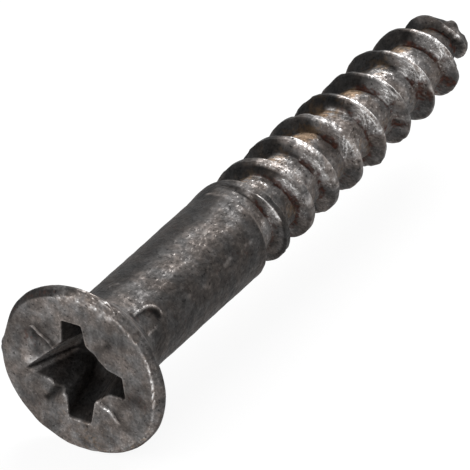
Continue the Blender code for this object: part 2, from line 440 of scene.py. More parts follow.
FOOT_START = ((-1.2, 0.76), (-1.0, 0.77), (-0.95, 0.80), (-0.2, 0.79), (-0.15, 0.84), (-0.05, 0.83),
              (-0.02, 0.77), (0.5, 0.76), (0.84, 0.835), (0.95, 0.825), (0.98, 0.77), (1.5, 0.76),
              (1.85, 0.82), (1.94, 0.82), (1.98, 0.76), (2.5, 0.77), (2.84, 0.85), (2.94, 0.85),
              (2.98, 0.80), (3.03, 0.79), (3.5, 0.76), (3.85, 0.77), (4.5, 0.76), (4.85, 0.84),
              (4.96, 0.82), (5.05, 0.77), (5.5, 0.76), (5.85, 0.77), (6.7, 0.76), (6.82, 0.74), (8, 0.74))
FOOT_RUST = ((-1.20, 0.2), (-1.05, 0.0), (-1.02, 0.75), (-0.96, 0.9), (-0.92, 0.7), (-0.88, 0.5),
             (-0.5, 0.6), (-0.12, 0.45), (-0.04, 0.6), (-0.02, 1.0), (0.06, 1.0), (0.12, 0.75), (0.5, 0.5),
             (0.85, 0.2), (0.95, 0.15), (0.975, 0.95), (1.04, 1.0), (1.07, 0.45), (1.12, 0.8), (1.5, 0.6),
             (1.86, 0.20), (1.94, 0.35), (1.965, 1.0), (2.03, 0.95), (2.06, 0.2), (2.5, 0.7), (2.87, 0.35),
             (2.95, 0.45), (2.98, 0.75), (3.03, 0.8), (3.07, 0.8), (3.5, 0.5), (3.86, 0.85), (3.94, 0.9),
             (3.96, 0.7), (4.02, 0.9), (4.06, 0.5), (4.5, 0.8), (4.9, 0.3), (5.0, 0.35), (5.03, 0.9),
             (5.06, 0.9), (5.09, 0.3), (5.5, 0.6), (5.86, 0.8), (5.92, 1.0), (6.04, 1.0), (6.08, 0.5),
             (6.5, 0.8), (6.86, 0.9), (6.90, 1.0), (7.00, 0.95), (7.05, 0.4), (8.4, 0.3))
OCHRE_TURNS = ((-1, 0.2), (-0.1, 0.55), (0.06, 0.6), (0.11, 1.5), (0.2, 0.8), (0.5, 0.5), (0.9, 0.55),
               (1.5, 0.7), (1.88, 1.2), (1.94, 1.4), (1.98, 0.9), (3.0, 1.0), (3.9, 0.95), (4.5, 0.6),
               (4.9, 0.55), (5.9, 0.75), (6.4, 0.5), (6.9, 0.55), (8, 0.3))
LAST_GROOVE = (6.70, 6.82)        # the turns over which the groove by the tip begins

# Light and dark spots of the face: centre, size, change of tone
FACE_SPOTS = (
    ((2.1, -1.9), 1.1, 0.05), ((-2.7, 1.5), 1.0, 0.04), ((-2.0, 2.8), 0.6, 0.07), ((-0.8, 3.3), 0.5, 0.08),
    ((1.2, 2.45), 0.5, -0.12), ((-0.9, -2.4), 0.7, -0.06), ((2.0, -0.9), 0.7, -0.06),
    ((0.3, -2.0), 0.35, -0.10), ((0.7, 2.2), 0.4, -0.06), ((-3.3, -0.7), 0.45, -0.09),
    ((2.6, 0.0), 0.6, -0.08), ((0, 3.2), 0.4, -0.06), ((-0.45, 2.9), 0.3, -0.08),
    ((1.2, -2.4), 0.4, 0.08), ((-1.1, -2.2), 0.25, 0.06),
    # The smeared metal by the upper left wing, with a dark facet beside it
    ((-1.68, -1.58), 0.24, 0.24), ((-1.55, -2.02), 0.13, 0.12),
    ((-1.05, -1.62), 0.24, -0.15), ((-0.62, -2.2), 0.22, -0.08),
    # Curled edges beside the left tick
    ((-1.60, -0.48), 0.13, 0.22), ((-1.60, 0.38), 0.12, 0.24),
)
# The face's ticks again, for their colour: start, end, then offset, width and strength of the dark
# part, painted shade along the tick, and the same for the light line, a painted highlight along it
FACE_TICKS = (
    ((-1.40, 0.00), (-2.75, 0.02), 0.0, 0.24, 0.21, 0.0, 0.05, 0.0),
    ((-0.34, 1.38), (-0.24, 2.75), -0.05, 0.11, 0.20, 0.12, 0.08, 0.30),
    ((-0.22, -1.32), (-0.40, -2.72), 0.0, 0.32, 0.18, 0.0, 0.06, 0.50),
    ((1.20, 0.03), (2.40, 0.10), 0.0, 0.24, 0.16, 0.0, 0.05, 0.0),
)
# Light scratches on the shank, each from one (deep, side) to another
SCRATCHES = (((6.25, 24), (6.72, 32)), ((4.95, 21.5), (5.42, 21.5)), ((7.45, 22), (8.40, 22.5)),
             ((9.15, 24), (10.1, 24)), ((3.1, -54), (3.5, -46)), ((4.6, -8), (5.3, -9)))
SCAB = (-2.27, 10.75)             # a dark red scab where the thread starts: distance round, and deep


def scab(round_, deep, size=0.45):
    return spot(SKIN_RADIUS * round_, deep, SCAB, size)


def face_skin(across, down):
    """(tone, rust, ochre) on the head's face."""
    tone = 0.375 + 0.06 * grain(across, down, 0, 1.5, 4.9) + 0.06 * grain(across, down, 0, 0.55, 2.6) \
        + 0.03 * grain(across, down, 0, 0.26, 5.7)
    tone += sum(change * spot(across, down, centre, size) for centre, size, change in FACE_SPOTS)
    rust = 0.20 * max(0.0, 0.25 + grain(across, down, 1, 0.8, 7.7))
    rust += 0.25 * spot(across, down, (1.3, 2.5), 0.6) + 0.20 * spot(across, down, (-0.8, -2.3), 0.8)
    rust += 0.25 * bump_at(across + 3.05, 0.16) * band(down, -0.9, 1.0, 0.3)
    ochre = 0.12 * max(0.0, grain(across, down, 2, 1.1, 1.3)) + 0.2 * spot(across, down, (-2.2, 2.5), 0.9)
    broken = clamp(0.75 + 1.1 * grain(across, down, 7, 0.3, 6.8))
    # Each tick gets painted shade along it and a painted highlight line on or beside it
    for start, end, dark_at, dark_width, dark, light_at, light_width, light in FACE_TICKS:
        beside, share = tick_place(across, down, start, end)
        near = band(share, 0.0, 0.82, 0.14)
        tone -= dark * bump_at(beside - dark_at, dark_width * (1 - 0.5 * ramp(share, 0.1, 1))) * near
        tone += light * bump_at(beside - light_at, light_width) * near * broken
    return tone, rust, ochre


def edge_highlight_ring(side):
    """(share, tone) of the painted highlight along the face's edge, brightest on its lower front side."""
    return band(side, -50, 66, 12), 0.58 + 0.24 * band(side, 22, 54, 8)


def face_zone_skin(across, down, round_, share):
    """The face's skin, with a painted highlight and painted glints at its outer edge, a lighter lower edge
    and wear at the recess's edge.
    """
    tone, rust, ochre = face_skin(across, down)
    side = degrees(round_)
    # The painted highlight along the face's edge
    line, bright = edge_highlight_ring(side)
    line *= (1 - soft_step(share, 0.0, 0.040)) * clamp(0.7 + 1.5 * around(round_, 0, 0.28, 1.1, wide=3.3))
    speckle = max(0.0, grain(across, down, 6, 0.2, 4.7) + 0.1)
    # Painted glints: bright grains near the outer edge, on the upper front side only
    tone += (0.06 + 0.55 * speckle) * (1 - soft_step(share, 0.06, 0.22)) * band(side, -52, -16, 10)
    tone += (1 - soft_step(share, 0.0, 0.12)) * 0.08 * band(side, 85, 150, 15)
    worn = soft_step(share, 0.93, 1.0) * (0.10 + 0.12 * grain(across, down, 4, 0.4, 3.8))
    return blend(tone, bright, line) + worn, rust, ochre


def edge_skin(side, share, speckle):
    """(tone, rust, ochre) on the eased ring round the face."""
    # The face edge's painted highlight, and below it a painted highlight band at sides -40 to -12
    line, bright = edge_highlight_ring(side)
    line *= soft_step(share, 0.62, 0.9) * clamp(0.75 + 1.4 * speckle)
    tone = 0.34 + 0.08 * speckle + 0.12 * band(side, 75, 150, 15) + 0.08 * band(side, -40, -12, 8)
    tone = blend(tone, bright, line)
    top = band(side, -102, -60, 9)
    tone = blend(tone, 0.15 + 0.05 * speckle + 0.05 * share, top)
    return tone, 0.15 + 0.10 * top, 0.1 + 0.2 * band(side, 85, 170, 15)


def rim_skin(side, speckle):
    """(tone, rust, ochre) on the head's rim."""
    # Sides -36 to -12 carry a painted highlight with painted glints
    tone = 0.34 + 0.08 * speckle + band(side, -36, -12, 8) * (0.12 + 0.25 * speckle)
    tone = blend(tone, 0.15, band(side, -110, -70, 8))
    tone = blend(tone, 0.29 + 0.12 * speckle, band(side, -62, -46, 6))
    below = band(side, 95, 165, 15)
    return tone, 0.15 + 0.3 * below, 0.25 * below


def cone_skin(round_, share, speckle):
    """(tone, rust, ochre) on the cone under the rim."""
    # The speckle is brightened into painted glints on the upper front side only
    tone = 0.33 + 0.06 * around(round_, 3 * share, 0.5, 1.9, wide=1.9) \
        + 0.10 * speckle * band(degrees(round_), -70, -5, 12)
    return tone, 0.15 + 0.2 * max(0.0, around(round_, share, 0.6, 2.9, wide=1.5)), 0.08


def recess_skin(mouth, share):
    """(tone, rust, ochre) in the recess: painted shade, but for the upper wall between the upper wings,
    which is painted light.
    """
    pale = (1 - soft_step(mouth[1], -1.30, -1.05)) * band(mouth[0], -1.9, 0.05, 0.15)
    # Painted shade in the recess
    dark = blend(blend(0.22, 0.16, soft_step(mouth[1], 0.5, 1.0)), 0.19, share)
    return blend(dark, blend(0.66, 0.52, share), pale), 0.08, 0.0


def dent_tone(tone, beyond, down, inside, lip):
    """The shank's tone with its dent: painted shade in its hollow, deepest at the far end and under the lip,
    a bright lip, and the marks beside them.
    """
    # Painted shade in the hollow, darker at its far end and just under the lip
    hollow = 0.29 - 0.17 * soft_step(beyond, 0.80, 1.06) - 0.12 * (1 - soft_step(down, 0.0, 0.13))
    tone = blend(tone, hollow, inside)
    tone = blend(tone, 0.14, bump_at(hypot(beyond + 0.19, (down + 0.10) / 1.5), 0.15))
    tone = blend(tone, blend(0.60, 0.52, soft_step(down, 0.0, 0.35)), min(1.0, 1.2 * lip))
    tone = blend(tone, 0.52, bump_at(down - DENT_LINE, 0.07) * band(beyond, -0.02, 0.60, 0.07))
    return blend(tone, 0.385, 0.95 * bump_at(hypot((beyond + 0.1) / 1.4, down + 0.85), 0.29))


def shank_skin(round_, deep):
    """(tone, rust, ochre) on the plain shank."""
    wander = 5 * around(round_, deep, 1.6, 3.7, wide=0.4)
    # The tone by side holds a painted highlight band on the upper front side and painted shade along the top
    tone = along(SHANK_TONES, wrapped(degrees(round_) + wander))
    tone *= 1 + 0.14 * around(round_, deep, 0.42, 6.3, long=0.8) \
        + 0.14 * around(round_, deep, 0.17, 8.1, long=0.7)
    tone = blend(tone, 0.03, 0.95 * scab(round_, deep))
    beyond, down = dent_place(round_, deep)
    inside, lip = dent_edges(beyond, down)
    tone = dent_tone(tone, beyond, down, inside, lip)
    broken = clamp(0.8 + 1.2 * around(round_, deep, 0.2, 4.9))
    for scratch in SCRATCHES:
        ends = [(end_deep, SKIN_RADIUS * radians(side)) for end_deep, side in scratch]
        beside, share = tick_place(deep, SKIN_RADIUS * round_, *ends)
        tone = blend(tone, 0.46, 0.85 * bump_at(beside, 0.08) * band(share, 0.0, 1.0, 0.1) * broken)
    rust = 0.10 + 0.25 * max(0.0, around(round_, deep, 1.1, 9.2))
    rust *= (1 - lip) * (1 - scab(round_, deep, 0.6))
    return tone, rust, 0.10 * max(0.0, around(round_, deep, 0.9, 1.4))


# ---------------------------------------------------------------- the wound thread

THREAD_SWELL, SWELL_LENGTH = 0.1, 1.0       # the thread stands a little wider than the shank
SWELL_LEAD = 0.22                 # how far before the shank's end it starts to swell
THREAD_TAPER = 0.48               # and loses this much of its diameter on the way to the tip
TIP_FLANK, HEAD_FLANK = 0.45, 0.15          # the flanks' widths along the axis
TIP_THREAD_DEPTH = 0.33           # what is left of the thread's depth at the tip
ROOT_DIP = 0.06                   # share by which the root is shallower on its side towards the head
RUN_OUT_FROM, RUN_OUT_TURNS = -1.28, 0.5    # where the groove starts, in turns, and how slowly
RUN_OUT_LIFT = 0.1                # lifts the start of the groove clear of the shank
TIP_CUT = 27.55                   # where the wound thread meets the blunt tip

# The points across one pitch: both halves of a crest, two flanks and the root between them
ACROSS = (0, 0.040, 0.0785, 0.100, 0.135, 0.175, 0.215, 0.255, 0.290, 0.320, 0.360, 0.410, 0.465, 0.520,
          0.575, 0.630, 0.685, 0.735, 0.780, 0.812, 0.836, 0.852, 0.866, 0.880, 0.894, 0.908, 0.9215,
          0.940, 0.970, 1.0)


class Blank:
    """The screw's main measures in millimetres, with its radius and groove at any point."""

    def __init__(self, sizes):
        self.length = sizes.overall / MM
        self.shank = sizes.shank / MM
        self.shank_end = sizes.shank_end / MM
        self.pitch = sizes.pitch / MM
        self.cut = sizes.thread_depth / MM
        self.flat = sizes.crest_flat / MM
        self.first = sizes.first_crest / MM
        self.tip_start = (sizes.overall - sizes.tip_length) / MM
        self.tip = sizes.tip / MM

    def radius(self, deep):
        swell_start = self.shank_end - SWELL_LEAD
        diameter = self.shank + THREAD_SWELL * ramp(deep, swell_start, swell_start + SWELL_LENGTH)
        diameter -= THREAD_TAPER * ramp(deep, swell_start + SWELL_LENGTH, self.tip_start)
        return blend(diameter, self.tip, ramp(deep, self.tip_start, self.length)) / 2

    def depth(self, deep):
        return blend(self.cut, TIP_THREAD_DEPTH, ramp(deep, self.tip_start, self.length))

    def helix(self, angle, deep):
        """(turn, share): the crest before this point and the way from it to the next crest."""
        past = ((FRONT_SIDE - angle) / (2 * pi)) % 1.0
        place = (deep - self.first) / self.pitch - past
        return floor(place) + past, place - floor(place)

    def section(self, turn, share):
        """Share of the full thread depth cut at this point, before the run-out."""
        edge = self.flat / 2 / self.pitch
        tip_edge = blend(blend(edge, 0.0, soft_step(turn, 2.3, 4.3)), 1.2 * edge, soft_step(turn, 7.4, 7.8))
        edge += 0.05 * soft_step(turn, 6.5, 7.0)
        run_out = 1 - soft_step(turn, RUN_OUT_FROM + 0.35, RUN_OUT_FROM + 1.1)
        tip_flank = (TIP_FLANK + 0.45 * run_out) / self.pitch
        head_flank = HEAD_FLANK / self.pitch
        rise = ramp(share, tip_edge, tip_edge + tip_flank)
        fall = 1 - ramp(share, 1 - edge - head_flank, 1 - edge)
        dip = ROOT_DIP * (1 - ramp(share, tip_edge + tip_flank, 1 - edge - head_flank))
        return min(blend(rise, ease(rise), 0.5), fall) - dip * min(rise, fall)

    def surface(self, angle, deep):
        """(radius, turn, share) of the unworn thread at a point."""
        turn, share = self.helix(angle, deep)
        run_out = 1 - soft_step(turn, RUN_OUT_FROM, RUN_OUT_FROM + RUN_OUT_TURNS)
        cut = self.section(turn, share) * self.depth(deep) - (self.cut + RUN_OUT_LIFT) * run_out
        if turn < RUN_OUT_FROM:
            cut = 0.0
        cut = max(cut, 0.0) * soft_step(deep, self.shank_end - 0.02, self.shank_end + 0.10)
        return self.radius(deep) - cut, turn, share

    def thread_share(self, turn, deep):
        """0 on the plain shank, 1 where the thread is whole."""
        return soft_step(turn, RUN_OUT_FROM, RUN_OUT_FROM + 0.3) \
            * soft_step(deep, self.shank_end, self.shank_end + 0.3)


# Knocks on the thread: deep, side, how far each moves the surface, size
KNOCKS = (
    (20.8, -92, -0.09, 0.45), (22.75, -92, 0.07, 0.40), (24.35, -95, -0.09, 0.60),
    (19.75, 88, 0.09, 0.30), (20.3, 92, 0.05, 0.35), (22.1, 92, 0.06, 0.40), (23.4, 92, 0.06, 0.40),
    (24.75, 88, -0.14, 0.40), (26.0, 85, -0.07, 0.40),
    (26.85, -75, 0.15, 0.45), (27.15, 95, -0.12, 0.30), (27.1, -12, -0.16, 0.40),
    (27.66, -16, 0.30, 0.26), (27.55, 16, -0.17, 0.30), (27.0, -45, -0.12, 0.15), (27.05, -20, -0.10, 0.14),
    (14.3, -150, -0.12, 0.50), (17.2, 165, -0.10, 0.45), (21.5, 150, -0.12, 0.50), (25.2, -160, -0.12, 0.50),
)
# The radius that turns an angle beside a knock into a distance, and the same for knocks at the tip
KNOCK_RADIUS, TIP_RADIUS, TIP_FROM = 2.2, 1.0, 26.5


def thread_relief(round_, deep, turn, share):
    """How far wear moves the thread's surface at a point."""
    crest = 1 - ramp(abs((share + 0.5) % 1.0 - 0.5), 0.075, 0.16)
    high = 0.016 * around(round_, deep, 0.8, 1.7) + 0.010 * around(round_, deep, 0.32, 5.9) \
        + 0.012 * streaks(turn, share, 0.12, 3.3) * band(share, 0.25, 0.90, 0.02)
    nick = max(0.0, around(round_, deep, 0.45, 8.8, long=0.5) - 0.2)
    high -= crest * (0.10 * nick + 0.03 * max(0.0, around(round_, deep, 1.5, 2.1)))
    for at, side, move, size in KNOCKS:
        if abs(deep - at) < 2.5 * size:
            radius = KNOCK_RADIUS if at < TIP_FROM else TIP_RADIUS
            beside = radius * ((round_ - radians(side) + pi) % (2 * pi) - pi)
            high += move * bump_at(deep - at, size) * bump_at(beside, size * 1.4)
    return high


def fine_grain(round_, deep):
    return around(round_, deep, 0.16, 4.4, wide=0.6)


def flank_tone(side, turn, fine, streak):
    """Tone of the flank towards the head: painted highlight and shade by side, dark where the thread starts,
    and painted light on the last groove's flanks, which lie in the shadow of the crest before them.
    """
    tone = along(FLANK_TONES, side) * (1 + 0.08 * fine + 0.40 * streak)
    tone *= blend(1, 0.86, soft_step(turn, 1.5, 2.5)) \
        * (1 + 0.40 * band(turn, -0.01, 0.06, 0.03) - 0.25 * band(turn, 1.98, 2.05, 0.04))
    early = 1 - soft_step(turn, -0.9, -0.3)
    tone *= 1 - early * blend(0.15, 0.58, soft_step(side, -22, -10) * (1 - soft_step(turn, -1.0, -0.93)))
    # Painted light: the last groove's flanks are lifted out of the crest's cast shadow
    last = blend(0.34, 0.70, soft_step(side, -36, -18)) * (1 - 0.35 * soft_step(side, 0, 22))
    return max(tone, last * soft_step(turn, *LAST_GROOVE))


def root_tone(side, turn, share, foot_start, grains):
    """Tone of the root, with painted highlight and shade by side, and painted light on its upper front side
    beside a narrow foot.
    """
    tone = along(ROOT_TONES, side) * along(ROOT_TURN_SCALE, turn) * (1 + grains)
    return tone * (1 + 0.34 * band(share, 0.64, foot_start + 0.01, 0.05) * soft_step(foot_start, 0.79, 0.83)
                   * band(side, -52, -18, 10))


def with_crest(tone, crest, side, crest_turn, beyond):
    """Lays a crest, with a painted shade line and painted highlight lines beside it, over a tone; beyond
    counts pitches from its middle.
    """
    thin = soft_step(crest_turn, 2.3, 3.3) * (1 - soft_step(crest_turn, 7.4, 7.8))
    start, end = blend(-0.094, -0.080, thin), blend(0.078, -0.030, thin)
    if crest_turn > 0.25:
        # Painted shade: a dark line along the head-side edge of the first crests' lands, on the upper side
        undercut_shade = 0.85 * (1 - soft_step(side, -15, 3)) * (1 - soft_step(crest_turn, 1.1, 1.5))
        tone = blend(tone, 0.12, undercut_shade * bump_at(beyond + 0.112, 0.013))
    land = soft_step(beyond, start - 0.012, start) * (1 - soft_step(beyond, end, end + 0.03))
    tone = blend(tone, crest, land)
    if crest_turn < 0.25:
        # Painted highlights: two thin bright lines on the edges of the first crest
        tone = blend(tone, 0.72, band(crest_turn, -0.02, 0.07, 0.03) * bump_at(beyond + 0.092, 0.018))
        tone = blend(tone, 0.85, band(crest_turn, -0.165, -0.115, 0.01) * bump_at(beyond - 0.10, 0.020))
    return tone


def thread_rust(side, turn, share, foot_start, patch):
    """Dark red rust along the foot of each crest, and in patches low down and at the back."""
    wave = 0.022 * streaks(turn, 0, 0.9, 6.2, long=1.0)
    foot = band(share + wave, foot_start, 0.852 - 0.07 * soft_step(turn, *LAST_GROOVE), 0.03)
    foot *= along(FOOT_RUST, turn) * clamp(1.05 + 0.6 * patch) * soft_step(side, -62, -42)
    low = soft_step(streaks(turn, share, 0.42, 3.1, long=2.0), 0.10, 0.42) * band(share, 0.45, 0.9, 0.1)
    low *= max(band(side, 24, 80, 16), band(side, 105, 170, 12)) * soft_step(turn, -0.4, 0.0)
    return max(foot, 0.75 * low)


def thread_skin(round_, deep, turn, share):
    """(tone, rust, ochre) on the whole thread."""
    side = wrapped(degrees(round_) + 7 * around(round_, deep, 2.2, 6.6, long=0.5))
    fine = fine_grain(round_, deep)
    streak = streaks(turn, share, 0.13, 2.5)
    foot_start = along(FOOT_START, turn)
    # The nearest crest's own turn, and the way from its middle towards the tip
    crest_turn, beyond = (turn, share) if share < 0.5 else (turn + 1, share - 1)
    grains = 0.06 * fine + 0.12 * streak + 0.10 * around(round_, deep, 0.7, 7.4, long=1.6)
    flank_start = max(foot_start, 0.82)
    tone = blend(root_tone(side, turn, share, foot_start, grains), flank_tone(side, turn, fine, streak),
                 soft_step(share, flank_start, flank_start + 0.04))
    # The crest's tone by side holds a painted highlight on the upper front side and painted shade along the
    # top
    crest = along(CREST_TONES, side) * along(CREST_TURN_SCALE, crest_turn) \
        * (1 + 0.20 * fine - 0.45 * max(0.0, around(round_, deep, 0.5, 9.1)))
    tone = with_crest(tone, crest, side, crest_turn, beyond)
    tone = blend(tone, 0.24, band(share, 0.10, 0.24, 0.05) * 0.5 * soft_step(turn, 2.0, 4.0))
    tone = blend(tone, 0.11, 0.75 * bump_at(share - foot_start - 0.02, 0.022) * band(side, -60, -20, 10))
    if turn > 6.75:
        tone *= 1 + 0.35 * around(round_, deep, 0.34, 7.1)
    rust = thread_rust(side, turn, share, foot_start, around(round_, deep, 0.8, 5.2, long=0.6))
    # Ochre in the root: light rust, and a painted warm sheen on its upper side
    ochre = along(ROOT_OCHRE_AND_SHEEN, side) * along(OCHRE_TURNS, turn) * band(share, 0.46, foot_start, 0.12) \
        * clamp(0.80 + 0.9 * around(round_, deep, 0.7, 1.2) + 0.6 * streak)
    return tone, rust, ochre


def run_out_skin(round_, deep):
    """(tone, rust, ochre) where the shank passes into the thread: a cone whose tone by side holds painted
    highlight and shade, with thin painted highlight lines.
    """
    side = degrees(round_)
    plain, rust, _ = shank_skin(round_, deep)
    cone = along(RUN_OUT_TONES, side) * (1 + 0.10 * fine_grain(round_, deep))
    cone = blend(cone, 0.03, 0.95 * scab(round_, deep))
    cone = blend(plain, cone, soft_step(deep, 10.62, 10.74))
    # The thin bright lines here and in the return below are painted highlights along the cone's edges
    line_deep = 10.67 + 0.42 * soft_step(side, -36, 0)
    line = 0.8 * band(side, -62, -44, 4) + 0.4 * band(side, -37, -5, 6)
    cone = blend(cone, 0.50, line * bump_at(deep - line_deep, 0.08))
    return blend(cone, 0.46, 0.4 * band(side, 12, 75, 8) * bump_at(deep - 10.67, 0.07)), rust, 0.0


def worn_surface(blank, angle, deep):
    """(radius, skin) of the worn thread at a point."""
    radius, turn, share = blank.surface(angle, deep)
    round_ = round_at(angle)
    full = blank.thread_share(turn, deep)
    worn = thread_relief(round_, deep, turn, share) * full + shank_relief(round_, deep) * (1 - full)
    skin = thread_skin(round_, deep, turn, share)
    if full < 1:
        skin = [blend(first, last, full) for first, last in zip(run_out_skin(round_, deep), skin)]
    return radius + worn * ramp(deep, JOIN, JOIN + 0.5), skin


# ---------------------------------------------------------------- the mesh

# Vertices nearer than these are one: on a spun profile, between stacked turns, and where parts meet
SPUN_GAP, STACKED_GAP, MEETING_GAP = 1e-4, 1e-3, 2e-3


def profile(bm, points, angle=FRONT_SIDE):
    """New vertices at (radius, deep) points of the half plane at an angle."""
    return [bm.verts.new((radius * cos(angle), deep, radius * sin(angle))) for radius, deep in points]


def spin_round(bm, chain, columns, rise=0.0):
    """Joins vertices into a chain and spins it round once; a helix rises as it turns."""
    edges = [bm.edges.new(pair) for pair in zip(chain, chain[1:])]
    bmesh.ops.spin(bm, geom=chain + edges, cent=(0, 0, 0), axis=(0, 1, 0), dvec=(0, rise / columns, 0),
                   angle=2 * pi, steps=columns, use_merge=not rise)


def added(bm, before):
    return [v for v in bm.verts if v not in before]


def attached(verts):
    """The vertices with all edges and faces on them, once each."""
    edges = dict.fromkeys(e for v in verts for e in v.link_edges)
    faces = dict.fromkeys(f for v in verts for f in v.link_faces)
    return verts + list(edges) + list(faces)


def turned_front(bm, sizes):
    """Spins the front's profile; each vertex keeps the number of its row."""
    rows = front_rows(sizes)
    row_layer = bm.verts.layers.int.new("row")
    chain = profile(bm, [row[:2] for row in rows])
    for i, vert in enumerate(chain):
        vert[row_layer] = i
    spin_round(bm, chain, sizes.columns)
    bmesh.ops.remove_doubles(bm, verts=bm.verts, dist=SPUN_GAP)
    return rows, row_layer


def wound_thread(bm, blank, columns):
    """Winds one pitch of the thread's profile once round, stacks copies of it, and trims the ends."""
    lead = ceil((blank.first + blank.pitch * 1.02 - JOIN) / blank.pitch * columns)
    turns = ceil((TIP_CUT - blank.first) / blank.pitch + lead / columns + 0.01)
    start = blank.first - blank.pitch * lead / columns
    before = set(bm.verts)
    chain = profile(bm, [(blank.shank / 2, start + blank.pitch * share) for share in ACROSS],
                    FRONT_SIDE + 2 * pi * lead / columns)
    spin_round(bm, chain, columns, rise=blank.pitch)
    one_turn = attached(added(bm, before))
    for turn in range(1, turns):
        copy = bmesh.ops.duplicate(bm, geom=one_turn)["geom"]
        bmesh.ops.translate(bm, vec=(0, blank.pitch * turn, 0),
                            verts=[item for item in copy if isinstance(item, bmesh.types.BMVert)])
    bmesh.ops.remove_doubles(bm, verts=added(bm, before), dist=STACKED_GAP)
    for level, side in ((JOIN, -1), (TIP_CUT, 1)):
        bmesh.ops.bisect_plane(bm, geom=attached(added(bm, before)), dist=SPUN_GAP,
                               plane_co=(0, level, 0), plane_no=(0, side, 0), clear_outer=True)
    for level in (JOIN, TIP_CUT):
        fit_ring(bm, added(bm, before), level, columns)
    return added(bm, before)


def fit_ring(bm, verts, level, columns):
    """Draws each odd vertex of a trimmed end to the nearest column, so that it fits the next ring."""
    ring = [(vert, (FRONT_SIDE - atan2(vert.co.z, vert.co.x)) / (2 * pi) * columns)
            for vert in verts if abs(vert.co.y - level) < STACKED_GAP]
    kept = {round(column) % columns: vert for vert, column in ring if abs(column - round(column)) < 0.02}
    nearest = {vert: kept.get(round(column) % columns, vert) for vert, column in ring}
    bmesh.ops.weld_verts(bm, targetmap={vert: near for vert, near in nearest.items() if near is not vert})


def blunt_tip(bm, blank, columns, steps=14):
    """The tip's end, turned from the thread's last ring to the middle."""
    before = set(bm.verts)
    turned = [pi / 2 * i / steps for i in range(steps)]
    points = [(blank.radius(TIP_CUT) * cos(t), blend(TIP_CUT, blank.length, sin(t))) for t in turned]
    spin_round(bm, profile(bm, points + [(0.0, blank.length)]), columns)
    bmesh.ops.remove_doubles(bm, verts=added(bm, before), dist=SPUN_GAP)
    return added(bm, before)


def mark(vert, layers, skin):
    for layer, value in zip(layers, skin):
        vert[layer] = clamp(value)


def put(vert, radius, angle, deep):
    vert.co = Vector((radius * cos(angle), deep, radius * sin(angle)))


def off_axis(deep):
    """How far the head is off the shank's axis, which fades out over the neck."""
    share = 1 - ramp(deep, 0.2, 2.37)
    return HEAD_SHIFT[0] * share, HEAD_SHIFT[1] * share


def shank_point(radius, deep, zone, round_):
    """((across, down), deep, skin) of a point of the shank or its neck."""
    worn = 0.6 if zone == "neck" else soft_step(deep, 2.3, 2.7) * (1 - soft_step(deep, JOIN - 0.6, JOIN))
    radius += worn * shank_relief(round_, deep)
    return polar(radius, round_, off_axis(deep)), deep, shank_skin(round_, deep)


def rim_point(radius, deep, zone, share, round_):
    """((across, down), deep, skin) of a point of the cone, the rim or the eased edge."""
    side = degrees(round_)
    speckle = around(round_, share * 2, 0.28, 1.1, wide=3.3)
    x, y = polar(radius, round_, (0, 0))
    radius += rim_relief(round_, deep) + 0.012 * grain(x, y, deep, 0.7, 4.4) \
        + 0.006 * grain(x, y, deep, 0.22, 9.4)
    point = polar(radius, round_, off_axis(deep))
    if zone == "cone":
        return point, deep, cone_skin(round_, share, speckle)
    if zone == "rim":
        return point, deep, rim_skin(side, speckle)
    ring = face_edge(round_)
    deep = blend(EDGE_DROP, -face_relief(*ring), 1 - (1 - share) ** 1.3)
    return lerp2(point, ring, share), deep, edge_skin(side, share, speckle)


def face_point(share, round_, mouth):
    """((across, down), deep, skin) of a point of the face, on its way to the recess's mouth."""
    point = lerp2(face_edge(round_), mouth, share ** 0.93)
    return point, -face_relief(*point), face_zone_skin(*point, round_, share)


def wall_point(share, mouth, bottom, low_deep, skin):
    """((across, down), deep, skin) of a point of the recess's rough wall."""
    across, down = lerp2(mouth, bottom, share)
    deep = blend(-face_relief(*mouth), low_deep, share)
    rough = 0.02 * grain(across, down, deep, 0.35, 6.1) * ramp(share, 0, 0.15)
    outwards = hypot(across, down) or 1
    return (across + across / outwards * rough, down + down / outwards * rough), deep, skin


def shape_front(verts, rows, row_layer, layers, sizes):
    """Wears the turned front, and draws its inner rows into the face and the recess."""
    outlines = recess_outlines(sizes.columns)
    for vert in verts:
        radius, deep, zone, share = rows[vert[row_layer]]
        round_ = round_at(atan2(vert.co.z, vert.co.x))
        column = round(round_ / (2 * pi) * sizes.columns) % sizes.columns
        mouth, bottom = [(outline[column][0] + RECESS_SHIFT[0], outline[column][1] + RECESS_SHIFT[1])
                         for outline in outlines]
        wing = ramp(hypot(*outlines[0][column]), 1.4, 2.2)      # 0 at the core's flats, 1 out in a wing
        low_deep = blend(sizes.recess_depth / MM, WING_DEPTH, wing)
        if zone in ("shank", "neck"):
            point, deep, skin = shank_point(radius, deep, zone, round_)
        elif zone in ("cone", "rim", "edge"):
            point, deep, skin = rim_point(radius, deep, zone, share, round_)
        elif zone == "face":
            point, deep, skin = face_point(share, round_, mouth)
        elif zone == "wall":
            skin = recess_skin(outlines[0][column], share)
            point, deep, skin = wall_point(share, mouth, bottom, low_deep, skin)
        else:
            point, deep = lerp2(bottom, RECESS_SHIFT, share), blend(low_deep, POINT_DEPTH, share)
            skin = recess_skin((0, 0), 1.0)
        x, z = to_world(*point)
        vert.co = Vector((x, deep, z))
        mark(vert, layers, skin)


def shape_thread(verts, layers, blank):
    for vert in verts:
        angle, deep = atan2(vert.co.z, vert.co.x), vert.co.y
        radius, skin = worn_surface(blank, angle, deep)
        put(vert, radius, angle, deep)
        mark(vert, layers, skin)


